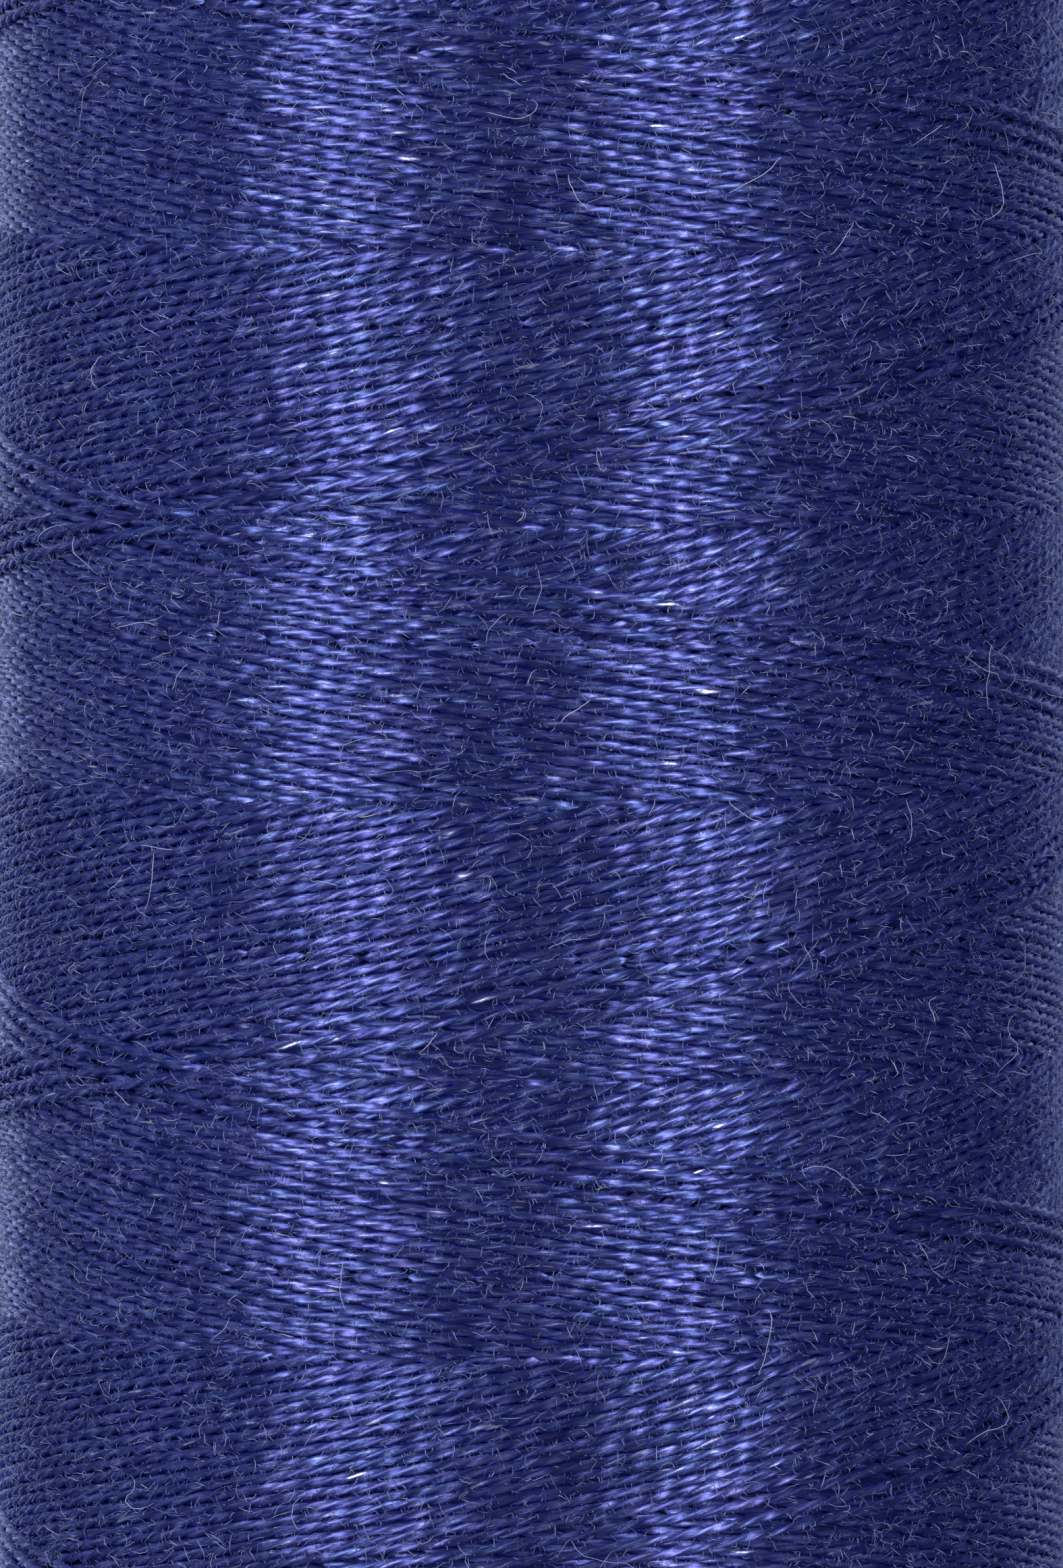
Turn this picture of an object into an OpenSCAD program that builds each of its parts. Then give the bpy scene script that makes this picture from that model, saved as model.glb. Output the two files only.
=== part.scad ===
// Sewing-thread spool with a snap base that locks the thread end.
// Origin: centre of the base's underside. +Z runs up the spindle axis.

/* [Thread winding] */
// Diameter across the wound thread
winding_d = 22; // [20:0.5:22.5]
// Length of the winding along the axis
winding_l = 44; // [30:0.5:60]
// Diameter of the sewing thread
thread_d = 0.22; // [0.16:0.01:0.24]
// Radius that rounds both ends of the winding
winding_round = 0.9; // [0.3:0.1:1.5]

/* [Barrel] */
// Outside diameter of the tube that the thread is wound on
tube_d = 16.4; // [16:0.2:18]
// Wall of the tube
tube_wall = 1.1; // [0.9:0.1:1.3]
// Diameter of the flanges, the cap and the base
flange_d = 23.4; // [23.2:0.1:25]
// Thickness of each flange
flange_t = 1.2; // [1:0.1:1.6]
// Diameter of the hole for the spool pin
spindle_d = 6.4; // [5.4:0.1:6.6]
// Wall of the sleeves around the spool pin
sleeve_wall = 1; // [0.8:0.1:1.1]
// Rounding of the flanges' rims
rim_round = 0.4; // [0.2:0.05:0.45]
// Number of ribs between each sleeve and the wall outside it
ribs = 6; // [4:1:8]
// Thickness of the ribs
rib_t = 0.9; // [0.7:0.1:1.2]

/* [Cap and base] */
// Height of the snap base's skirt
base_h = 4.6; // [4.2:0.1:6]
// Height of the top cap above the upper flange
cap_h = 3.85; // [3.5:0.05:6]
// Thickness of the skirts
skirt_wall = 1.5; // [1.3:0.1:1.8]
// Thickness of the end walls
end_wall = 1.2; // [1:0.1:1.4]
// Rounding of the outer edges
edge_round = 0.8; // [0.4:0.1:1]
// Number of grip flutes around the snap base
flutes = 40; // [20:2:48]
// Depth of the grip flutes
flute_depth = 0.22; // [0.1:0.02:0.3]

/* [Snap lock] */
// How far the base pulls away from the barrel
snap_travel = 1.6; // [1:0.1:1.8]
// Radial play between the snap collar and its socket
snap_play = 0.15; // [0.1:0.01:0.2]
// How far the catch bead stands out of the collar
bead_h = 0.35; // [0.25:0.05:0.4]
// Number of fingers that the snap collar is split into
fingers = 4; // [3:1:6]

/* [Labels] */
// Diameter of the paper labels
label_d = 20.4; // [18:0.2:20.4]
// Thickness of the paper labels
label_t = 0.12; // [0.08:0.02:0.2]

/* [Hidden] */
$fn = 96;

plastic = [0.90, 0.89, 0.85];
paper = [0.95, 0.94, 0.90];
navy = [0.13, 0.15, 0.40];

// Heights, from the floor up.
lock_gap = 0.05;
winding_gap = 0.35;
flange_z = base_h + lock_gap;
winding_z = flange_z + flange_t + winding_gap;
winding_top = winding_z + winding_l;
upper_flange_z = winding_top + winding_gap;
barrel_top = upper_flange_z + flange_t;
total_h = barrel_top + cap_h;
recess = 0.35;
floor_top = recess + end_wall;
roof_z = total_h - recess - end_wall;

// Radii.
flange_r = flange_d / 2;
winding_r = winding_d / 2;
tube_r = tube_d / 2;
bore_r = tube_r - tube_wall;
spindle_r = spindle_d / 2;
sleeve_r = spindle_r + sleeve_wall;
recess_r = label_d / 2 + 0.3;
label_hole_r = spindle_r + 0.4;
skirt_r = flange_r - skirt_wall;
bead_r = bore_r - snap_play;
collar_r = bead_r - bead_h;
lip_r = collar_r + snap_play;
collar_wall = 0.9;

// Snap lock, along the axis.
lip_h = 0.6;
lip_top = flange_z + lip_h;
bead_z = lip_top + snap_travel + 0.15;
bead_l = 0.8;
collar_top = bead_z + bead_l;
sleeve_gap = 1.6;
finger_z = 3.4;
finger_slot = 1.1;

// Top cap.
plug_l = 3.4;
plug_wall = 0.9;
press = 0.02;

// Thread ends. Angles are counted from +X.
thread_r = thread_d / 2;
play = 0.03;
lie = thread_r + play;
slot_w = thread_d + 0.2;
slot_depth = thread_d + 0.1;
slot_start = 0.15;
start_angle = 60;
start_wrap = 250;
tail_angle = 100;
tail_lead = 34;
tail_arc = 78;
notch_w = 0.7;
notch_depth = 0.85;
groove_r = flange_r - 0.95;
groove_w = thread_d + 0.12;
groove_depth = thread_d + 2 * play;

// A round ring between two radii.
module ring(outer, inner, z, h) {
  translate([0, 0, z])
    difference() {
      cylinder(r = outer, h = h);
      translate([0, 0, -0.01]) cylinder(r = inner, h = h + 0.02);
    }
}

// Radial ribs that join a sleeve to the wall outside it.
module spokes(inner, outer, z, h) {
  for (i = [0:ribs - 1])
    rotate([0, 0, i * 360 / ribs])
      translate([inner - 0.2, -rib_t / 2, z])
        cube([outer - inner + 0.4, rib_t, h]);
}

// Flange with rounded rims, turned about the axis.
module flange(z) {
  root_r = (bore_r + tube_r) / 2;
  turn_r = flange_r - rim_round;
  translate([0, 0, z])
    rotate_extrude()
      polygon(concat([[root_r, flange_t], [root_r, 0]],
        [for (a = [-90:18:0]) [turn_r + rim_round * cos(a), rim_round + rim_round * sin(a)]],
        [for (a = [0:18:90])
          [turn_r + rim_round * cos(a), flange_t - rim_round + rim_round * sin(a)]]));
}

// Skirted end shell: an end wall, a skirt and a rim around the label recess, opening upwards.
module end_shell(h) {
  rotate_extrude()
    difference() {
      union() {
        translate([0, edge_round]) square([flange_r, h - edge_round]);
        square([flange_r - edge_round, edge_round + 0.01]);
        translate([flange_r - edge_round, edge_round]) circle(r = edge_round, $fn = 32);
      }
      translate([-0.01, -0.01]) square([recess_r + 0.01, recess + 0.01]);
      translate([-0.01, floor_top]) square([skirt_r + 0.01, h]);
      square([spindle_r, h]);
    }
}

// Route of the inner thread end: once round the foot of the tube, then out along the flange's slot.
start_low = flange_z + flange_t - slot_depth + lie;
start_high = flange_z + flange_t + lie;
start_rings = 60;
start_turn_r = 0.5;
function start_arc(i) =
  let (a = start_angle + 4 + start_wrap * (1 - i / start_rings))
    [(tube_r + lie) * cos(a), (tube_r + lie) * sin(a), start_high];
function start_out(r) =
  let (t = min(1, (r - tube_r - lie) / 1.4),
       a = start_angle + 4 * pow(max(0, 1 - (r - tube_r - lie) / start_turn_r), 2))
    [r * cos(a), r * sin(a), start_high - (start_high - start_low) * t * t * (3 - 2 * t)];
start_route = concat([for (i = [0:start_rings - 1]) start_arc(i)],
                     [for (r = [tube_r + lie + 0.1 : 0.25 : flange_r - 0.4]) start_out(r)]);

// Route of the outer thread end: down the winding, through the flange's notch, round the lock groove.
tail_high = winding_z + 2.6;
tail_low = base_h - groove_depth + lie;
tail_r = winding_r + lie;
function tail_down(i) =
  let (a = tail_angle + tail_lead * i / 20, t = i / 20)
    [tail_r * cos(a), tail_r * sin(a), tail_high + (flange_z + flange_t + 0.2 - tail_high) * t * t];
tail_notch_angle = tail_angle + tail_lead + 2;
function tail_turn(i) =
  let (t = i / 6, a = tail_notch_angle + 5 * t * t, r = tail_r - (tail_r - groove_r) * (1 - cos(90 * t)))
    [r * cos(a), r * sin(a), flange_z + flange_t - (flange_z + flange_t - tail_low) * sin(90 * t)];
function tail_lock(i) =
  let (a = tail_notch_angle + 5 + tail_arc * i / 26)
    [groove_r * cos(a), groove_r * sin(a), tail_low];
tail_route = concat([for (i = [0:20]) tail_down(i)],
                    [for (i = [0:6]) tail_turn(i)],
                    [for (i = [1:26]) tail_lock(i)]);

function unit(v) = v / norm(v);
function across(v, t) = unit(v - (v * t) * t);
function along(route, i) =
  unit(route[min(i + 1, len(route) - 1)] - route[max(i - 1, 0)]);

// Round tube swept along a route. The reference direction is never parallel to the route.
module swept_thread(route, radial) {
  sides = 8;
  points = [for (i = [0:len(route) - 1])
    let (p = route[i],
         t = along(route, i),
         n = across(radial ? unit([p[0], p[1], 0]) : [0, 0, 1], t),
         b = cross(t, n))
      for (k = [0:sides - 1])
        p + thread_r * (cos(360 * k / sides) * n + sin(360 * k / sides) * b)];
  walls = [for (i = [0:len(route) - 2], k = [0:sides - 1])
    [i * sides + k, i * sides + (k + 1) % sides,
     (i + 1) * sides + (k + 1) % sides, (i + 1) * sides + k]];
  last = (len(route) - 1) * sides;
  ends = [[for (k = [0:sides - 1]) sides - 1 - k], [for (k = [0:sides - 1]) last + k]];
  polyhedron(points = points, faces = [for (f = concat(walls, ends)) [for (k = [len(f) - 1:-1:0]) f[k]]]);
}

// Tube, both flanges, spindle sleeve, ribs and the lip that keeps the snap base on.
module barrel() {
  sleeve_z = collar_top + sleeve_gap;
  sleeve_l = barrel_top - plug_l - 0.6 - sleeve_z;
  color(plastic)
    difference() {
      union() {
        ring(tube_r, bore_r, flange_z, barrel_top - flange_z);
        flange(flange_z);
        flange(upper_flange_z);
        ring(sleeve_r, spindle_r, sleeve_z, sleeve_l);
        spokes(sleeve_r, bore_r, sleeve_z + 0.4, sleeve_l - 0.8);
        catch_lip();
      }
      rotate([0, 0, start_angle])
        translate([tube_r + slot_start, -slot_w / 2, flange_z + flange_t - slot_depth])
          cube([flange_r, slot_w, slot_depth + 1]);
      rotate([0, 0, tail_notch_angle])
        translate([flange_r - notch_depth, -notch_w / 2, flange_z - 1])
          cube([flange_r, notch_w, flange_t + 2]);
    }
}

// Inner lip of the socket, with a lead-in below and a flat stop above.
module catch_lip() {
  translate([0, 0, flange_z])
    rotate_extrude()
      polygon([[bore_r + 0.1, 0], [bore_r, 0], [lip_r, 0.35], [lip_r, lip_h], [bore_r + 0.1, lip_h]]);
}

// Cap that plugs into the top of the tube and carries the upper label.
module top_cap() {
  plug_z = barrel_top - plug_l;
  color(plastic) {
    difference() {
      translate([0, 0, total_h]) mirror([0, 0, 1]) end_shell(cap_h);
      translate([0, 0, roof_z - 0.5]) cylinder(r = spindle_r, h = cap_h);
    }
    ring(bore_r + press, bore_r - plug_wall, plug_z, roof_z - plug_z + 0.1);
    ring(sleeve_r, spindle_r, plug_z + 0.8, roof_z - plug_z - 0.7);
    spokes(sleeve_r, bore_r - plug_wall, plug_z + 1.2, roof_z - plug_z - 1.1);
    spokes(bore_r, skirt_r, barrel_top + 0.4, roof_z - barrel_top - 0.3);
  }
}

// Base that slides on the barrel's socket and pinches the thread end under the lower flange.
module snap_base() {
  color(plastic)
    difference() {
      union() {
        end_shell(base_h);
        snap_collar();
        ring(sleeve_r, spindle_r, recess, base_h - recess);
        spokes(collar_r, skirt_r, floor_top - 0.1, base_h - floor_top - 0.5);
      }
      for (i = [0:flutes - 1])
        rotate([0, 0, (i + 0.5) * 360 / flutes])
          translate([flange_r + 0.6 - flute_depth, 0, edge_round + 0.3])
            cylinder(r = 0.6, h = base_h - 2 * edge_round - 0.5, $fn = 24);
      ring(groove_r + groove_w / 2, groove_r - groove_w / 2, base_h - groove_depth, 1);
      translate([0, 0, base_h - 0.35])
        rotate_extrude()
          polygon([[flange_r, 0], [flange_r + 1, 0], [flange_r + 1, 1], [flange_r - 0.35, 1],
                   [flange_r - 0.35, 0.35]]);
    }
}

// Collar split into fingers, with the catch bead around its top.
module snap_collar() {
  difference() {
    rotate_extrude()
      polygon([[collar_r - collar_wall, recess], [collar_r, recess], [collar_r, bead_z],
               [bead_r, bead_z], [bead_r, bead_z + 0.3], [collar_r, collar_top],
               [collar_r - collar_wall, collar_top]]);
    for (i = [0:fingers - 1])
      rotate([0, 0, (i + 0.5) * 360 / fingers])
        translate([collar_r - 2, -finger_slot / 2, finger_z])
          cube([4, finger_slot, collar_top]);
  }
}

// Paper disc with a hole for the spool pin.
module label(z) {
  color(paper) ring(label_d / 2, label_hole_r, z, label_t);
}

module top_label() {
  label(total_h - recess);
}

module base_label() {
  label(recess - label_t);
}

// Closed outer shape of the cross-wound thread.
module thread_winding() {
  inner = tube_r + play;
  color(navy)
    translate([0, 0, winding_z])
      rotate_extrude() {
        translate([inner, 0]) square([winding_r - winding_round - inner, winding_l]);
        translate([inner, winding_round])
          square([winding_r - inner, winding_l - 2 * winding_round]);
        for (z = [winding_round, winding_l - winding_round])
          translate([winding_r - winding_round, z]) circle(r = winding_round, $fn = 32);
      }
}

// Inner end of the thread, caught in the lower flange before winding starts.
module thread_start() {
  color(navy) swept_thread(start_route, false);
}

// Outer end of the thread, locked between the lower flange and the snap base.
module thread_tail() {
  color(navy) swept_thread(tail_route, true);
}

barrel();
top_cap();
snap_base();
top_label();
base_label();
thread_winding();
thread_start();
thread_tail();
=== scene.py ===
"""Spool of cross-wound sewing thread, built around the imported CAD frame.

Lengths are in millimetres until a mesh is made; MM turns them into metres. The winding is laid out thread by
thread as a precision winder lays it: two families of helices, "rising" and "falling" to the right, where each
thread lies over all those laid before it. Only the stretches that end up on top are made.
"""

import math

import bpy
import numpy as np
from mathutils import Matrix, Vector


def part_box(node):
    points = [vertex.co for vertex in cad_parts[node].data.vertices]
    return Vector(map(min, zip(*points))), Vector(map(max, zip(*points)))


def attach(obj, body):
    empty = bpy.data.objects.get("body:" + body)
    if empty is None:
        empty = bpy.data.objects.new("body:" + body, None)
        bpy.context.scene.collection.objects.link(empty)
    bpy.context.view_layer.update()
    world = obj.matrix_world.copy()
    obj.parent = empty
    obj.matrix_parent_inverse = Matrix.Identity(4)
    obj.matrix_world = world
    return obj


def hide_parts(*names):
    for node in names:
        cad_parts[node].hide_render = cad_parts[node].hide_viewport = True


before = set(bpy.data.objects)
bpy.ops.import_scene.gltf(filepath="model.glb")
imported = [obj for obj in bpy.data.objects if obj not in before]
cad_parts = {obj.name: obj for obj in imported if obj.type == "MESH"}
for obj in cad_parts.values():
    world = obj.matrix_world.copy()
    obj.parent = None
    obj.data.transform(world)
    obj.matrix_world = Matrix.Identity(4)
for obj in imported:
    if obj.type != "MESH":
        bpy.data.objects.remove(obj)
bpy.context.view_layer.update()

MM = 0.001
TURN = 2 * math.pi
rng = np.random.default_rng(7)

# --- Sizes, from the frame -------------------------------------------------------------------------------
winding_low, winding_high = (np.array(c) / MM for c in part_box("thread_winding"))
WINDING_R = winding_high[0]
WINDING_Z = winding_low[2]
WINDING_L = winding_high[2] - winding_low[2]
TUBE_R = 8.2  # outside of the barrel's tube
LABEL_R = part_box("top_label")[1][0] / MM
PLASTIC_NODES = ("barrel", "top_cap", "snap_base")
LABEL_NODES = ("top_label", "base_label")

# --- The thread ------------------------------------------------------------------------------------------
PLIES = 3
THREAD_R = 0.111
PLY_R = 0.061
PLY_OFFSET = 0.057
TWIST = 1.65  # length of one full turn of the plies
RING_STEP = 0.17  # distance between rings along a thread
FIBRE_LEVELLING = 0.7  # how far the outer fibres keep to the thread's line where their ply dives
WANDER = 0.08  # how far the fibres' line strays in and out, as a slope
WANDER_REACH = (0.9, 2.3)  # lengths over which it strays
FIBRE_SHEAR = 1.1  # plies crossed by a fibre in each millimetre, as its ply turns about the thread
LOBE_ANGLES = np.radians([-60, -30, 0, 30])
THREAD_SCALE = 1.02  # average size of the section, against the measures above
SCALE_SPREAD = 0.03
PLY_DRIFT, DRIFT_SPREAD = 0.9, 0.35  # turn of the plies from one thread to the next, in radians
CUT_END = 0.35  # size of a thread's first and last ring, against the others
TEXTURE_SHIFT = 10  # how far apart the threads' fibre textures may start

# --- The winding's layout --------------------------------------------------------------------------------
STROKE_TURNS = 4  # turns in one stroke, from end to end
THREADS = 49  # threads side by side in each family, once round
ZONES = 7  # height zones that each family is split into, so that no piece is too large
LEAD = WINDING_L / (STROKE_TURNS + 0.5 / THREADS)
STEP_HEIGHT = 0.13  # how far the newest threads stand above those not yet covered
CENTRE_R = WINDING_R - THREAD_R - 2 * STEP_HEIGHT
REVERSAL = 0.35  # how far from the winding's end a thread turns back
SHOULDER = 0.9  # rounding of the winding's ends
FRONT_ANGLE = -45.0  # where the newest threads of both families cross, from the front, to the right
CROSSING_TURNS = 2.5  # height of that crossing above the winding's lower end, in leads
NEWEST_GAPS = (-1.2, -0.7, -0.1, 0.25, 0.1)  # extra spacing of the newest threads, in threads
DIVE = 1.6  # threads crossed while one dives from the upper to the lower level
HIDDEN_MARGIN = 0.9  # threads crossed before a diving thread stops being made
SEEN_UNDER_FRONT = 2.4  # newest threads between which the ones they cross can be seen
GAP_SPREAD = 0.05  # spread of the other threads' spacing, in threads
SIDEWAYS_WOBBLE = (0.014, 9.0)  # size and reach of a thread's wander along the winding
OUTWARD_WOBBLE = (0.008, 3.0)  # size and reach of its wander in and out
ON_TOP = 0.2  # threads by which a thread must be past its last crossing for fibres to grow from it
RUN_SPREAD = 7  # rings that each ring in sight keeps round it, so that a stretch ends out of sight
SHORTEST_RUN = 6  # rings


def unit(v):
    return v / np.linalg.norm(v, axis=-1, keepdims=True)


def smooth_step(x):
    x = np.clip(x, 0, 1)
    return x * x * (3 - 2 * x)


def around(angle, radius, z):
    """Points on the winding. The angle is counted from the front, -Y, to the right."""
    return np.stack([radius * np.sin(angle), -radius * np.cos(angle), z], axis=-1)


def make_mesh(name, points, faces, material, body, attributes=None, smooth=True):
    """A mesh object from points in millimetres and faces as one array per number of sides."""
    mesh = bpy.data.meshes.new(name)
    loops = np.concatenate([f.ravel() for f in faces]).astype(np.int32)
    sides = np.concatenate([np.full(len(f), f.shape[1]) for f in faces]).astype(np.int32)
    mesh.vertices.add(len(points))
    mesh.vertices.foreach_set("co", (points * MM).astype(np.float32).ravel())
    mesh.loops.add(len(loops))
    mesh.loops.foreach_set("vertex_index", loops)
    mesh.polygons.add(len(sides))
    mesh.polygons.foreach_set("loop_start", np.concatenate([[0], np.cumsum(sides)[:-1]]).astype(np.int32))
    mesh.polygons.foreach_set("use_smooth", np.full(len(sides), smooth))
    for key, value in (attributes or {}).items():
        mesh.attributes.new(key, "FLOAT_VECTOR", "POINT").data.foreach_set(
            "vector", value.astype(np.float32).ravel())
    mesh.update(calc_edges=True)
    mesh.materials.append(material)
    obj = bpy.data.objects.new(name, mesh)
    bpy.context.scene.collection.objects.link(obj)
    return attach(obj, body)


# --- Thread geometry ------------------------------------------------------------------------------------
def lobed_profile():
    """Angle and radius of each corner of the three-lobed section, one lobe after another."""
    lobe = PLY_OFFSET * np.cos(LOBE_ANGLES) + np.sqrt(PLY_R**2 - (PLY_OFFSET * np.sin(LOBE_ANGLES)) ** 2)
    angles = np.concatenate([LOBE_ANGLES + TURN * k / PLIES for k in range(PLIES)])
    return angles, np.tile(lobe, PLIES)


PROFILE_ANGLE, PROFILE_R = lobed_profile()
SIDES = len(PROFILE_ANGLE)


class Strands:
    """Collects twisted threads and turns them into one mesh."""

    def __init__(self):
        self.points, self.quads, self.caps, self.marks, self.ways, self.count = [], [], [], [], [], 0

    def add(self, centre, outward, phase, size=1.0, mark=0.0):
        """Sweeps the lobed section along centre. The plies turn with the length, left-handed."""
        steps = np.linalg.norm(np.diff(centre, axis=0), axis=1)
        run = np.concatenate([[0], np.cumsum(steps)])
        tangent = unit(np.gradient(centre, axis=0))
        normal = unit(outward - (outward * tangent).sum(1, keepdims=True) * tangent)
        side = np.cross(normal, tangent)
        turn = TURN * run / TWIST + phase
        angle = turn[:, None] + PROFILE_ANGLE[None]
        ends = np.ones(len(centre))
        ends[[0, -1]] = CUT_END
        radius = PROFILE_R[None] * size * ends[:, None]
        ring = (centre[:, None]
                + (radius * np.cos(angle))[..., None] * normal[:, None]
                + (radius * np.sin(angle))[..., None] * side[:, None])
        rings = len(centre)
        base = self.count + np.arange(rings - 1)[:, None] * SIDES
        k = np.arange(SIDES)[None]
        after = (k + 1) % SIDES
        corners = [base + k, base + SIDES + k, base + SIDES + after, base + after]
        self.quads.append(np.stack(corners, -1).reshape(-1, 4))
        first = self.count + np.arange(SIDES)
        self.caps.append(np.stack([first, (first + (rings - 1) * SIDES)[::-1]]))
        self.points.append(ring.reshape(-1, 3))
        ply = PROFILE_ANGLE[None] / TURN * PLIES + FIBRE_SHEAR * run[:, None]
        mark_points = np.stack(np.broadcast_arrays(run[:, None], ply, np.full((1, 1), mark)), -1)
        self.marks.append(mark_points.reshape(-1, 3))
        ply_start = rng.uniform(0, TURN, (2, PLIES))
        wander = sum(np.sin(TURN * run[:, None] / reach + start)
                     for reach, start in zip(WANDER_REACH, ply_start))
        wander = np.repeat(wander, len(LOBE_ANGLES), axis=1)
        way = tangent[:, None] + WANDER * wander[..., None] * normal[:, None]
        self.ways.append(unit(way).reshape(-1, 3))
        self.count += rings * SIDES

    def build(self, name, material):
        """One mesh. "strand" places the fibre texture, and "fibre_way" is the fibres' direction."""
        attributes = {"strand": np.concatenate(self.marks), "fibre_way": np.concatenate(self.ways)}
        return make_mesh(name, np.concatenate(self.points),
                         [np.concatenate(self.quads), np.concatenate(self.caps)],
                         material, "spool", attributes)


# --- Layout of the winding ------------------------------------------------------------------------------
FRONT_U = FRONT_ANGLE / 360  # in turns
NEWEST_RISING = CROSSING_TURNS - FRONT_U
NEWEST_FALLING = CROSSING_TURNS + FRONT_U


WOBBLE_WAVES = 4
WOBBLE_REACHES = (0.4, 1.6)  # shortest and longest wave, against the average


def wobble(length, scale, reach):
    """A slow random wander along a thread."""
    total = np.zeros_like(length)
    for _ in range(WOBBLE_WAVES):
        total += np.sin(TURN * length / rng.uniform(*WOBBLE_REACHES) / reach + rng.uniform(0, TURN))
    return total * scale / 2


def thread_path(rising, index):
    """Centre line of one thread from end to end, where it shows, where it lies on top, and its angle.

    over says how much older, in threads, the other family's thread is where it crosses. Below zero it is
    newer, and lies on top.
    """
    gap = NEWEST_GAPS[index] if index < len(NEWEST_GAPS) else rng.normal(0, GAP_SPREAD)
    place = (index + gap) / THREADS
    turns = WINDING_L / LEAD
    rings = int(turns * math.hypot(TURN * WINDING_R, LEAD) / RING_STEP)
    t = np.linspace(0, turns, rings)
    if rising:
        start = -(NEWEST_RISING + place)
        u, height = start + t, t
        crossed = ((NEWEST_FALLING - (height + u)) * THREADS + 0.5) % THREADS - 0.5
        over = crossed - index - 0.5
    else:
        start = NEWEST_FALLING - place - turns
        u, height = start + t, turns - t
        crossed = ((height - u - NEWEST_RISING) * THREADS + 0.5) % THREADS - 0.5
        over = crossed - index + 0.5
    low, high = height * LEAD, WINDING_L - height * LEAD
    z = low + (np.hypot(low, REVERSAL) - low) - (np.hypot(high, REVERSAL) - high)
    length = t * TURN * WINDING_R
    z = z + wobble(length, *SIDEWAYS_WOBBLE) * smooth_step(np.minimum(low, high) / 2)
    sunk = smooth_step(0.5 - over / DIVE)
    ages = (index + 0.5) / THREADS + (crossed + 0.5) / THREADS
    radius = CENTRE_R + STEP_HEIGHT * (2 - ages - sunk) + wobble(length, *OUTWARD_WOBBLE)
    inside = np.clip(SHOULDER - np.minimum(z, WINDING_L - z), 0, SHOULDER * 0.98)
    radius = radius - (SHOULDER - np.sqrt(SHOULDER**2 - inside**2))
    shown = (over > -HIDDEN_MARGIN) | (crossed < SEEN_UNDER_FRONT)
    return around(TURN * u, radius, WINDING_Z + z), shown, over > ON_TOP, TURN * u


def kept_runs(shown):
    """Start and end of each stretch that shows, with a little more at both ends that dives out of sight."""
    spread = np.convolve(shown, np.ones(RUN_SPREAD), "same") > 0
    edges = np.flatnonzero(np.diff(np.concatenate([[0], spread.astype(int), [0]])))
    return [(a, b) for a, b in edges.reshape(-1, 2) if b - a > SHORTEST_RUN]


def lay_winding(material):
    """Both families in height zones, and the places on top where fibres can grow."""
    zones = {(rising, k): Strands() for rising in (True, False) for k in range(ZONES)}
    roots = []
    for rising in (True, False):
        drift = rng.uniform(0, TURN)
        for index in range(THREADS):
            centre, shown, on_top, angle = thread_path(rising, index)
            outward = around(angle, 1.0, np.zeros_like(angle))
            roots.append(np.stack([centre, outward, unit(np.gradient(centre, axis=0))], 1)[on_top])
            drift += PLY_DRIFT + rng.normal(0, DRIFT_SPREAD)
            size = THREAD_SCALE + rng.normal(0, SCALE_SPREAD)
            mark = rng.uniform(0, TEXTURE_SHIFT)
            position = np.arange(len(centre)) * RING_STEP
            for a, b in kept_runs(shown):
                zone = (centre[a:b, 2] - WINDING_Z) / WINDING_L * ZONES
                zone = np.clip(zone.astype(int), 0, ZONES - 1)
                cuts = [0, *(np.flatnonzero(np.diff(zone)) + 1), b - a]
                for c, e in zip(cuts[:-1], cuts[1:]):
                    last = min(e + 1, b - a)
                    if last - c < 3:
                        continue
                    part = slice(a + c, a + last)
                    phase = drift + TURN * position[a + c] / TWIST
                    zones[rising, zone[c]].add(centre[part], outward[part], phase, size, mark)
    made = []
    for (rising, k), strands in zones.items():
        way = "rising" if rising else "falling"
        made.append(strands.build(f"{way}_threads_{k + 1}", material))
    return made, np.concatenate(roots)


# --- Loose fibres ---------------------------------------------------------------------------------------
FIBRE_CORNERS = 3  # corners of a fibre's section
ROOT_SPREAD = 1.4  # how far round its thread a fibre starts, from the outermost line, in radians
ROOT_DEPTH = 0.7  # how far out of its thread's axis a fibre starts, in thread radii
ROOT_SHIFT = 0.07  # how far along its thread
ALONG, ACROSS, OUT, LIFT = 0.8, 0.7, 0.7, 0.6  # parts of a fibre's first direction
LENGTH_POWER = 0.55  # below 1, more fibres are short
THICKNESSES = (0.75, 1.2)  # thinnest and thickest fibre, against its kind
KINK = 0.25  # random change of direction at each bend
FIBRE_REACH = 0.26  # distance from the thread's axis at which a fibre starts to lie back
SETTLE_RATE, SETTLE_MOST = 3, 1.2  # how strongly it lies back


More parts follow.
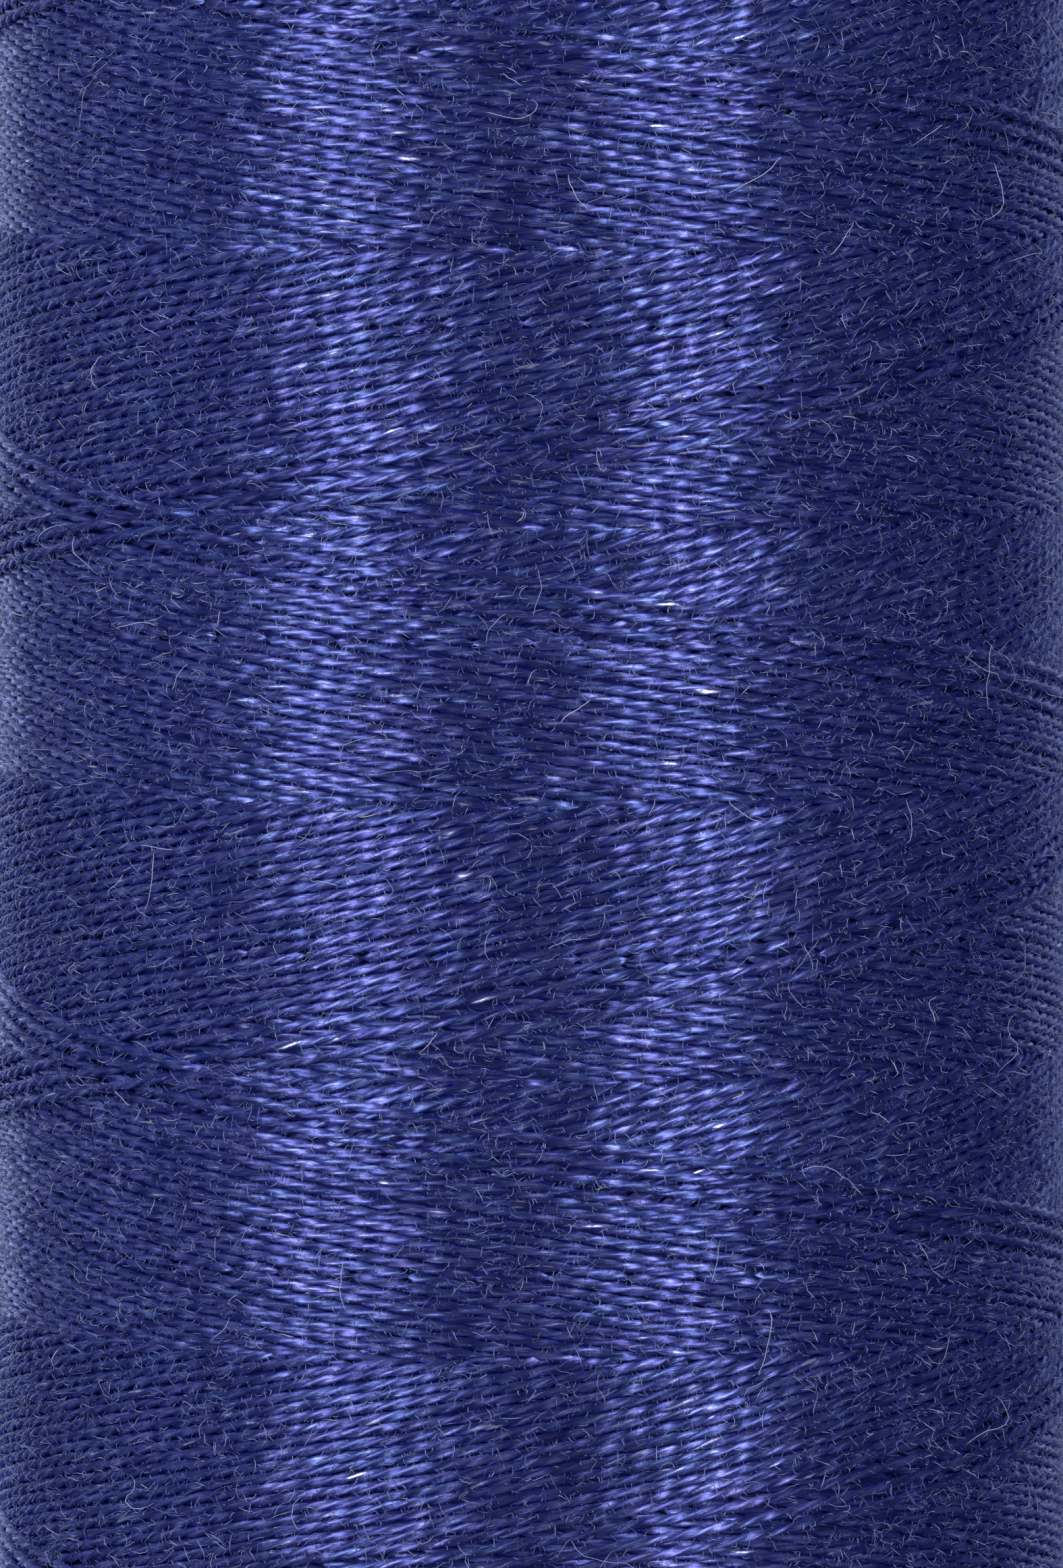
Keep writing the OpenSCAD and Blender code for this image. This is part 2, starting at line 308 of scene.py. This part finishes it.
def loose_fibres(roots, count, segments, lengths, radius, curl, tones):
    """Fine curled fibres that grow out of the threads: points, faces and one attribute for their colour."""
    root = roots[rng.integers(0, len(roots), count)]
    centre, outward, tangent = root[:, 0], root[:, 1], root[:, 2]
    side = np.cross(outward, tangent)
    around_thread = rng.uniform(-ROOT_SPREAD, ROOT_SPREAD, count)[:, None]
    up = np.cos(around_thread) * outward + np.sin(around_thread) * side
    place = centre + THREAD_R * ROOT_DEPTH * up + tangent * rng.uniform(-ROOT_SHIFT, ROOT_SHIFT, (count, 1))
    heading = unit(rng.normal(0, ALONG, (count, 1)) * tangent + rng.normal(0, ACROSS, (count, 1)) * side
                   + OUT * up + rng.uniform(0, LIFT, (count, 1)) * outward)
    length = lengths[0] + (lengths[1] - lengths[0]) * rng.power(LENGTH_POWER, (count, 1))
    bend = unit(rng.normal(0, 1, (count, 3))) * rng.uniform(*curl, (count, 1))
    thickness = radius * rng.uniform(*THICKNESSES, (count, 1))
    rings, heights = [], []
    for k in range(segments):
        first = unit(np.cross(heading, outward + 0.05 * bend))
        second = np.cross(heading, first)
        for corner in range(FIBRE_CORNERS):
            a = TURN * corner / FIBRE_CORNERS
            rings.append(place + thickness * (math.cos(a) * first + math.sin(a) * second))
            heights.append(np.full(count, k / segments))
        place = place + heading * length / segments
        lift = ((place - centre) * outward).sum(1, keepdims=True)
        settle = np.clip((lift - FIBRE_REACH) * SETTLE_RATE, 0, SETTLE_MOST)
        heading = unit(heading + bend - settle * outward + rng.normal(0, KINK, (count, 3)))
    rings.append(place)
    heights.append(np.ones(count))
    points = np.stack(rings, 1)
    corners = points.shape[1]
    base = np.arange(count)[:, None] * corners
    k = np.arange(FIBRE_CORNERS)
    after = (k + 1) % FIBRE_CORNERS
    band = np.stack([k, after, after + FIBRE_CORNERS, k + FIBRE_CORNERS], -1)
    quads = np.concatenate([base[:, None] + FIBRE_CORNERS * level + band[None]
                            for level in range(segments - 1)], 1)
    top = FIBRE_CORNERS * (segments - 1)
    tips = base[:, None] + np.stack([top + k, top + after, np.full(FIBRE_CORNERS, corners - 1)], -1)[None]
    feet = base + np.array([[2, 1, 0]])
    tone = rng.uniform(*tones, count)
    marks = np.stack([np.repeat(tone[:, None], corners, 1), np.stack(heights, 1),
                      np.repeat(rng.uniform(0, 1, (count, 1)), corners, 1)], -1)
    triangles = np.concatenate([tips.reshape(-1, 3), feet])
    return points.reshape(-1, 3), quads.reshape(-1, 4), triangles, marks.reshape(-1, 3)


# Name, patches, fibres in each, segments, length, radius, curl at each bend, and tone from dark to pale.
FIBRE_KINDS = (
    ("fuzz", 6, 12400, 3, (0.12, 0.62), 0.0072, (0.3, 1.3), (0.0, 0.74)),
    ("down", 6, 19800, 2, (0.07, 0.34), 0.0068, (0.5, 1.4), (0.1, 0.74)),
    ("curls", 1, 320, 9, (0.8, 2.2), 0.0085, (0.3, 0.9), (0.55, 0.9)),
    ("lint", 1, 150, 5, (0.15, 0.45), 0.010, (0.4, 1.0), (0.91, 1.0)),
)


def grow_fibres(roots, material):
    """Short fuzz and down in patches, so that no piece is too large, then long curls and pale lint."""
    made = []
    for name, patches, count, *shape in FIBRE_KINDS:
        for k in range(patches):
            points, quads, triangles, marks = loose_fibres(roots, count, *shape)
            made.append(make_mesh(f"{name}_{k + 1}", points, [quads, triangles], material, "spool",
                                  {"fibre": marks}))
    return made


# --- Turned shapes --------------------------------------------------------------------------------------
def lathe(profile, segments):
    """Points and quads of a closed profile of (radius, z) turned about the axis."""
    angle = np.arange(segments) / segments * TURN
    n = len(profile)
    points = around(angle[:, None], profile[None, :, 0], np.broadcast_to(profile[None, :, 1], (segments, n)))
    i, j = np.meshgrid(np.arange(segments), np.arange(n), indexing="ij")
    i2, j2 = (i + 1) % segments, (j + 1) % n
    quads = np.stack([i * n + j, i2 * n + j, i2 * n + j2, i * n + j2], -1)
    return points.reshape(-1, 3), quads.reshape(-1, 4)


def inner_layers(material):
    """The earlier layers, under the threads that show."""
    cover = 0.02  # how far this surface stands above the axis of the lowest threads
    inset = 0.1
    radius = CENTRE_R - STEP_HEIGHT + cover
    low, high = WINDING_Z + inset, WINDING_Z + WINDING_L - inset
    bend = np.linspace(0, math.pi / 2, 7)
    turn_r = radius - SHOULDER
    upper = np.stack([turn_r + SHOULDER * np.cos(bend), high - SHOULDER + SHOULDER * np.sin(bend)], -1)
    lower = np.stack([turn_r + SHOULDER * np.cos(bend), low + SHOULDER - SHOULDER * np.sin(bend)], -1)[::-1]
    inner = TUBE_R + 0.05  # just clear of the tube
    profile = np.concatenate([lower, upper, [[inner, high], [inner, low]]])
    points, quads = lathe(profile, 256)
    return make_mesh("inner_layers", points, [quads], material, "spool")


# --- Materials ------------------------------------------------------------------------------------------
def new_material(name):
    material = bpy.data.materials.new(name)
    material.use_nodes = True
    tree = material.node_tree
    return material, tree, tree.nodes["Principled BSDF"]


def node(tree, kind, **inputs):
    """A node with its inputs set, by name."""
    made = tree.nodes.new(kind)
    for key, value in inputs.items():
        made.inputs[key.replace("_", " ")].default_value = value
    return made


def ramp(tree, source, stops):
    """A colour ramp through stops of (place, colour)."""
    made = tree.nodes.new("ShaderNodeValToRGB")
    while len(made.color_ramp.elements) < len(stops):
        made.color_ramp.elements.new(0.5)
    for element, (place, colour) in zip(made.color_ramp.elements, stops):
        element.position = place
        element.color = (*colour, 1)
    tree.links.new(source, made.inputs["Fac"])
    return made.outputs["Color"]


def fibre_texture(tree, scale, **inputs):
    """Noise stretched along the fibres of a thread."""
    strand = tree.nodes.new("ShaderNodeAttribute")
    strand.attribute_name = "strand"
    stretch = tree.nodes.new("ShaderNodeMapping")
    stretch.inputs["Scale"].default_value = scale
    tree.links.new(strand.outputs["Vector"], stretch.inputs["Vector"])
    noise = node(tree, "ShaderNodeTexNoise", **inputs)
    tree.links.new(stretch.outputs["Vector"], noise.inputs["Vector"])
    return noise.outputs["Fac"]


def multiply(tree, a, b):
    mix = tree.nodes.new("ShaderNodeMix")
    mix.data_type = "RGBA"
    mix.blend_type = "MULTIPLY"
    mix.inputs["Factor"].default_value = 1.0
    tree.links.new(a, mix.inputs["A"])
    tree.links.new(b, mix.inputs["B"])
    return mix.outputs["Result"]


def map_range(tree, source, low, high):
    """A value from 0 to 1, moved to low to high."""
    made = tree.nodes.new("ShaderNodeMapRange")
    made.inputs["To Min"].default_value = low
    made.inputs["To Max"].default_value = high
    tree.links.new(source, made.inputs["Value"])
    return made.outputs["Result"]


def bump(tree, height, strength, distance, surface=None):
    """A normal from a height texture. distance is in metres."""
    made = node(tree, "ShaderNodeBump", Strength=strength, Distance=distance)
    tree.links.new(height, made.inputs["Height"])
    if surface is not None:
        tree.links.new(surface, made.inputs["Normal"])
    return made.outputs["Normal"]


def vector_math(tree, operation, first, second=None):
    made = tree.nodes.new("ShaderNodeVectorMath")
    made.operation = operation
    tree.links.new(first, made.inputs[0])
    if second is not None:
        tree.links.new(second, made.inputs[1])
    return made.outputs["Value" if operation == "DOT_PRODUCT" else "Vector"]


def scaled(tree, vector, amount, share):
    """vector times amount times a fixed share."""
    part = tree.nodes.new("ShaderNodeMath")
    part.operation = "MULTIPLY"
    part.inputs[1].default_value = share
    tree.links.new(amount, part.inputs[0])
    made = tree.nodes.new("ShaderNodeVectorMath")
    made.operation = "SCALE"
    tree.links.new(vector, made.inputs[0])
    tree.links.new(part.outputs["Value"], made.inputs["Scale"])
    return made.outputs["Vector"]


def thread_material():
    """Spun, dyed thread: fine fibres along each ply, a little hue change, and a few pale fibres, partly their
    own paler colour and partly a painted highlight where they sparkle.

    The gloss stretches across the fibres. Where a ply dives, the shading normal is levelled toward the
    thread's own line, because loosely spun fibres do not dive as steeply as their ply.
    """
    material, tree, shader = new_material("spun_thread")
    fibres = fibre_texture(tree, (2.5, 9.0, 5.0), Scale=1.0, Detail=2.0, Roughness=0.6)
    tints = fibre_texture(tree, (0.35, 0.35, 3.0), Scale=1.0, Detail=2.0)
    grains = fibre_texture(tree, (1.6, 1.3, 7.0), Scale=1.0, Detail=1.0)
    # Pale specks: partly paler fibres, partly a painted highlight, pale blue-white painted into the colour
    # where a few fibres sparkle.
    pale = fibre_texture(tree, (1.1, 1.6, 9.0), Scale=1.0, Detail=1.0)
    base = ramp(tree, fibres, [
        (0.28, (0.034, 0.045, 0.21)), (0.5, (0.076, 0.093, 0.35)), (0.72, (0.175, 0.195, 0.52))])
    tint = ramp(tree, tints, [
        (0.32, (0.88, 1.04, 0.97)), (0.5, (1.0, 1.0, 1.0)), (0.68, (1.08, 0.96, 1.0))])
    glint = ramp(tree, pale, [(0.71, (0.0, 0.0, 0.0)), (0.77, (1.0, 1.0, 1.0))])
    # The colour of the painted highlight on the pale fibres.
    mix = tree.nodes.new("ShaderNodeMix")
    mix.data_type = "RGBA"
    mix.inputs["B"].default_value = (0.60, 0.64, 0.95, 1)
    tree.links.new(glint, mix.inputs["Factor"])
    grain = ramp(tree, grains, [(0.3, (0.45, 0.45, 0.55)), (0.5, (1.0, 1.0, 1.0)), (0.7, (2.0, 1.95, 1.6))])
    tree.links.new(multiply(tree, multiply(tree, base, tint), grain), mix.inputs["A"])
    tree.links.new(mix.outputs["Result"], shader.inputs["Base Color"])
    tree.links.new(map_range(tree, fibres, 0.44, 0.36), shader.inputs["Roughness"])
    way = tree.nodes.new("ShaderNodeAttribute")
    way.attribute_name = "fibre_way"
    surface = tree.nodes.new("ShaderNodeNewGeometry").outputs["Normal"]
    dive = vector_math(tree, "DOT_PRODUCT", surface, way.outputs["Vector"])
    dive_part = scaled(tree, way.outputs["Vector"], dive, FIBRE_LEVELLING)
    levelled = vector_math(tree, "NORMALIZE", vector_math(tree, "SUBTRACT", surface, dive_part))
    tree.links.new(bump(tree, fibres, 0.6, 0.000012, levelled), shader.inputs["Normal"])
    tree.links.new(way.outputs["Vector"], shader.inputs["Tangent"])
    shader.inputs["Anisotropic"].default_value = 0.9
    shader.inputs["Anisotropic Rotation"].default_value = 0.25
    shader.inputs["Metallic"].default_value = 0.85
    shader.inputs["Sheen Weight"].default_value = 0.28
    shader.inputs["Sheen Roughness"].default_value = 0.6
    shader.inputs["Sheen Tint"].default_value = (0.02, 0.06, 1, 1)
    return material


def fuzz_material():
    """Loose fibres, from the thread's own blue to a few that are nearly white."""
    material, tree, shader = new_material("loose_fibre")
    fibre = tree.nodes.new("ShaderNodeAttribute")
    fibre.attribute_name = "fibre"
    split = tree.nodes.new("ShaderNodeSeparateXYZ")
    tree.links.new(fibre.outputs["Vector"], split.inputs["Vector"])
    tone = ramp(tree, split.outputs["X"], [
        (0.0, (0.045, 0.065, 0.27)), (0.45, (0.16, 0.21, 0.52)), (0.72, (0.42, 0.49, 0.80)),
        (0.9, (0.55, 0.62, 0.85)), (0.95, (0.64, 0.62, 0.66)), (1.0, (0.62, 0.50, 0.52))])
    tree.links.new(tone, shader.inputs["Base Color"])
    tree.links.new(map_range(tree, split.outputs["Z"], 0.35, 0.55), shader.inputs["Roughness"])
    return material


def object_noise(tree, scale, detail):
    place = tree.nodes.new("ShaderNodeTexCoord")
    noise = node(tree, "ShaderNodeTexNoise", Scale=scale, Detail=detail)
    tree.links.new(place.outputs["Object"], noise.inputs["Vector"])
    return noise.outputs["Fac"]


def plastic_material():
    """Pale moulded plastic, with faint clouding and a fine moulded texture."""
    material, tree, shader = new_material("core_plastic")
    clouds = object_noise(tree, 160.0, 4.0)
    grain = object_noise(tree, 2600.0, 3.0)
    colour = ramp(tree, clouds, [(0.3, (0.70, 0.69, 0.64)), (0.7, (0.79, 0.78, 0.74))])
    tree.links.new(colour, shader.inputs["Base Color"])
    tree.links.new(map_range(tree, grain, 0.34, 0.5), shader.inputs["Roughness"])
    tree.links.new(bump(tree, grain, 0.25, 0.00003), shader.inputs["Normal"])
    shader.inputs["Subsurface Weight"].default_value = 0.15
    shader.inputs["Subsurface Radius"].default_value = (0.0012, 0.001, 0.0008)
    shader.inputs["Subsurface Scale"].default_value = 1.0
    return material


def label_material():
    """Plain uncoated paper with two printed rings and no lettering."""
    material, tree, shader = new_material("label_paper")
    place = tree.nodes.new("ShaderNodeTexCoord")
    flat = tree.nodes.new("ShaderNodeVectorMath")
    flat.operation = "MULTIPLY"
    flat.inputs[1].default_value = (1, 1, 0)
    tree.links.new(place.outputs["Object"], flat.inputs[0])
    radius = tree.nodes.new("ShaderNodeVectorMath")
    radius.operation = "LENGTH"
    tree.links.new(flat.outputs["Vector"], radius.inputs[0])
    rings = tree.nodes.new("ShaderNodeMapRange")
    rings.inputs["From Min"].default_value = 0.0
    rings.inputs["From Max"].default_value = LABEL_R * MM
    tree.links.new(radius.outputs["Value"], rings.inputs["Value"])
    ink, paper = (0.03, 0.035, 0.16), (0.80, 0.79, 0.74)
    printed = ramp(tree, rings.outputs["Result"], [
        (0.0, paper), (0.62, ink), (0.645, paper), (0.80, ink), (0.93, paper)])
    printed.node.color_ramp.interpolation = "CONSTANT"
    fibre = ramp(tree, object_noise(tree, 1500.0, 5.0), [(0.3, (0.88, 0.88, 0.87)), (0.6, (1.0, 1.0, 1.0))])
    tree.links.new(multiply(tree, printed, fibre), shader.inputs["Base Color"])
    shader.inputs["Roughness"].default_value = 0.75
    tree.links.new(bump(tree, object_noise(tree, 3200.0, 3.0), 0.3, 0.00002), shader.inputs["Normal"])
    return material


def under_layers_glow_material():
    """The layers below, seen only between threads, in a strong blue: partly the thread's own dye, partly
    painted light for the light scattered into the shaded gaps.
    """
    material, tree, shader = new_material("inner_thread")
    # Painted light: the blue is raised so that the shaded gaps between threads show navy, not black.
    colour = ramp(tree, object_noise(tree, 3000.0, 3.0), [
        (0.35, (0.015, 0.02, 0.25)), (0.65, (0.04, 0.055, 0.5))])
    tree.links.new(colour, shader.inputs["Base Color"])
    shader.inputs["Roughness"].default_value = 0.8
    return material


def plain_material(name, colour, roughness):
    material, _, shader = new_material(name)
    shader.inputs["Base Color"].default_value = (*colour, 1)
    shader.inputs["Roughness"].default_value = roughness
    return material


# --- Camera and light -----------------------------------------------------------------------------------
CAMERA_DISTANCE = 400.0
CAMERA_LIFT = 4.0  # degrees above the horizon
VIEW_WIDTH = 21.56  # across the frame, at the spool's axis
BELOW_CROSSING = 5.83  # how far the frame's middle is below the newest threads' crossing height
VIEW_CENTRE_Z = WINDING_Z + CROSSING_TURNS * LEAD - BELOW_CROSSING
FRAME_SIZE = (1575, 2324)
SENSOR_WIDTH = 36
WARM, COOL, NEUTRAL = (1, 0.99, 0.95), (0.88, 1, 0.97), (1, 1, 1)
# Name, angle from the front, lift, distance, size, power and colour of each light on the whole spool.
SPOOL_LIGHTS = (
    ("key_left", -41, 14, 300, (112, 260), 0.66, WARM),
    ("key_right", 33, 14, 300, (70, 260), 0.61, WARM),
    ("fill_left", -100, 12, 300, (300, 260), 0.12, (0.9, 1, 0.98)),
    ("rim_left", -150, 10, 300, (120, 260), 0.20, COOL),
    ("rim_right", 150, 10, 300, (120, 260), 0.10, COOL),
)


def add_camera():
    data = bpy.data.cameras.new("camera")
    lift = math.radians(CAMERA_LIFT)
    height = VIEW_WIDTH * FRAME_SIZE[1] / FRAME_SIZE[0]
    data.sensor_width = SENSOR_WIDTH
    data.lens = data.sensor_width * CAMERA_DISTANCE / height
    data.clip_start, data.clip_end = 0.01, 10
    camera = bpy.data.objects.new("camera", data)
    camera.location = (0, -CAMERA_DISTANCE * MM * math.cos(lift),
                       (VIEW_CENTRE_Z + CAMERA_DISTANCE * math.sin(lift)) * MM)
    camera.rotation_euler = (math.pi / 2 - lift, 0, 0)
    bpy.context.scene.collection.objects.link(camera)
    bpy.context.scene.camera = camera


def add_light(name, angle, lift, distance, size, power, colour, lit):
    """A soft box at an angle from the front, to the right, aimed at the spool. It lights only lit."""
    data = bpy.data.lights.new(name, "AREA")
    data.shape = "RECTANGLE"
    data.size, data.size_y = size[0] * MM, size[1] * MM
    data.energy = power
    data.color = colour
    light = bpy.data.objects.new(name, data)
    a, e = math.radians(angle), math.radians(lift)
    out = np.array([math.sin(a) * math.cos(e), -math.cos(a) * math.cos(e), math.sin(e)])
    middle = np.array([0, 0, WINDING_Z + WINDING_L / 2])
    light.location = (middle + out * distance) * MM
    light.rotation_euler = (math.pi / 2 - e, 0, a)
    light.visible_camera = False
    light.light_linking.receiver_collection = lit
    bpy.context.scene.collection.objects.link(light)


def add_backdrop():
    """A pale floor that curves up into a wall all round. It sends no light back to the spool."""
    flat, bend, top = 1500, 300, 1500
    curve = np.linspace(0, math.pi / 2, 17)
    foot = np.stack([flat + bend * np.sin(curve), bend - bend * np.cos(curve)], -1)
    profile = np.concatenate([[[0.01, 0]], foot, [[flat + bend, top]]])
    sides = 128
    points, quads = lathe(profile, sides)
    quads = quads.reshape(sides, -1, 4)[:, :-1].reshape(-1, 4)
    mesh = bpy.data.meshes.new("backdrop")
    mesh.from_pydata((points * MM).tolist(), [], quads.tolist())
    mesh.shade_smooth()
    mesh.materials.append(plain_material("backdrop_paint", (0.75, 0.75, 0.74), 0.7))
    backdrop = bpy.data.objects.new("backdrop", mesh)
    bpy.context.scene.collection.objects.link(backdrop)
    backdrop.visible_diffuse = False
    backdrop.visible_glossy = False
    return backdrop


def light_group(name, objects, state="INCLUDE"):
    """A collection that says which objects a light reaches, or with EXCLUDE, which it passes by."""
    group = bpy.data.collections.new(name)
    for member in objects:
        group.objects.link(member)
    for link in group.collection_objects:
        link.light_linking.link_state = state
    return group


def add_studio():
    """Soft boxes round the spool, and a backdrop with its own light, so that it is even from every side."""
    backdrop = add_backdrop()
    not_stage = light_group("not_stage", [backdrop], "EXCLUDE")
    for light in SPOOL_LIGHTS:
        add_light(*light, not_stage)
    pale_parts = [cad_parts[name] for name in (*PLASTIC_NODES, *LABEL_NODES)]
    add_light("overhead", 0, 80, 900, (1200, 1200), 4.5, NEUTRAL, light_group("pale_parts", pale_parts))
    stage_only = light_group("stage_only", [backdrop])
    add_light("stage_light", 0, 89, 2000, (2800, 2800), 42, NEUTRAL, stage_only)
    world = bpy.data.worlds.new("studio")
    world.use_nodes = True
    background = world.node_tree.nodes["Background"]
    background.inputs["Color"].default_value = (0.74, 0.84, 1, 1)
    background.inputs["Strength"].default_value = 0.112
    bpy.context.scene.world = world
    bpy.context.scene.view_settings.view_transform = "Standard"


# --- Thread ends ----------------------------------------------------------------------------------------
PLAY = 0.03  # clearance of a thread end from the plastic it lies on
LIE = THREAD_R + PLAY
FLANGE_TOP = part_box("thread_start")[1][2] / MM - THREAD_R - LIE
FLANGE_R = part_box("barrel")[1][0] / MM
START_ANGLE, START_WRAP = 60, 250  # the flange slot's angle, and how far the thread goes round the foot
START_LOW = FLANGE_TOP - 0.32 + LIE  # on the slot's floor
START_BEND = 4  # degrees over which the inner end turns out from the foot
SINK = 1.4  # length over which it sinks into the slot
TAIL_ANGLE = 100  # where the end comes out of the winding
TAIL_LEAD, TAIL_ARC = 34, 78  # how far round it goes on its way down, and then in the groove
HIDDEN_LEAD, HIDDEN_DEPTH = 22, 0.42  # how far round, and how deep, it starts under the newest threads
NOTCH_LEAD, NOTCH_TURN = 2, 5  # degrees to the notch, and in it
TAIL_R = WINDING_R + LIE
GROOVE_R = FLANGE_R - 0.95  # middle of the lock groove
TAIL_HIGH = WINDING_Z + 2.6
END_SCALE = 0.97
TAIL_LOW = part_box("thread_tail")[0][2] / MM + THREAD_R
END_STEPS = 8  # points in each millimetre of a thread end


def polar(degrees, radius, z):
    """Points at angles counted from +X, as the CAD counts them."""
    a = np.radians(degrees)
    return np.stack(np.broadcast_arrays(radius * np.cos(a), radius * np.sin(a), z), -1)


def resample(route):
    """The same route with even steps."""
    run = np.concatenate([[0], np.cumsum(np.linalg.norm(np.diff(route, axis=0), axis=1))])
    even = np.linspace(0, run[-1], int(run[-1] * END_STEPS))
    return np.stack([np.interp(even, run, route[:, c]) for c in range(3)], -1)


def inner_end():
    """Round the foot of the tube, then out along the slot in the flange."""
    foot = TUBE_R + LIE
    wrap = START_WRAP * np.linspace(1, 0, 300, endpoint=False)
    arc = polar(START_ANGLE + START_BEND + wrap, foot, FLANGE_TOP + LIE)
    r = np.linspace(foot + 0.02, FLANGE_R - 0.4, 60)
    sink = smooth_step((r - foot) / SINK)
    out = polar(START_ANGLE + START_BEND * np.clip(1 - (r - foot) / 0.5, 0, 1) ** 2, r,
                FLANGE_TOP + LIE - (FLANGE_TOP + LIE - START_LOW) * sink)
    route = resample(np.concatenate([arc, out]))
    return route, np.broadcast_to([0.0, 0.0, 1.0], route.shape)


def outer_end():
    """Out of the winding, down its side, through the notch and round the lock groove."""
    t = np.linspace(0, 1, 80)
    hidden = polar(TAIL_ANGLE - HIDDEN_LEAD * (1 - t), TAIL_R - HIDDEN_DEPTH * (1 - t) ** 1.5,
                   TAIL_HIGH + 0.3 * (1 - t) ** 2)
    down = polar(TAIL_ANGLE + TAIL_LEAD * t, TAIL_R, TAIL_HIGH + (FLANGE_TOP + 0.2 - TAIL_HIGH) * t * t)
    notch = TAIL_ANGLE + TAIL_LEAD + NOTCH_LEAD
    quarter = t * math.pi / 2
    turn = polar(notch + NOTCH_TURN * t * t, TAIL_R - (TAIL_R - GROOVE_R) * (1 - np.cos(quarter)),
                 FLANGE_TOP - (FLANGE_TOP - TAIL_LOW) * np.sin(quarter))
    lock = polar(notch + NOTCH_TURN + TAIL_ARC * t, GROOVE_R, TAIL_LOW)
    route = resample(np.concatenate([hidden[:-1], down, turn, lock[1:]]))
    return route, unit(route * [1, 1, 0])


def thread_end(name, route, outward, material):
    strands = Strands()
    strands.add(route, outward, 0.0, END_SCALE, rng.uniform(0, TEXTURE_SHIFT))
    return strands.build(name, material)


# --- The whole spool ------------------------------------------------------------------------------------
add_camera()
add_studio()
spun_thread = thread_material()
loose_fibre = fuzz_material()
core_plastic = plastic_material()
label_paper = label_material()

threads, fibre_roots = lay_winding(spun_thread)
fibres = grow_fibres(fibre_roots, loose_fibre)
for piece in [*threads, inner_layers(under_layers_glow_material()), *fibres]:
    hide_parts("thread_winding")
for cad_node, route in (("thread_start", inner_end()), ("thread_tail", outer_end())):
    piece = thread_end(cad_node.replace("thread", "spun"), *route, spun_thread)
    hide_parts(cad_node)
for cad_nodes, material in ((PLASTIC_NODES, core_plastic), (LABEL_NODES, label_paper)):
    for cad_node in cad_nodes:
        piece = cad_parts[cad_node]
        piece.data.materials.clear()
        piece.data.materials.append(material)
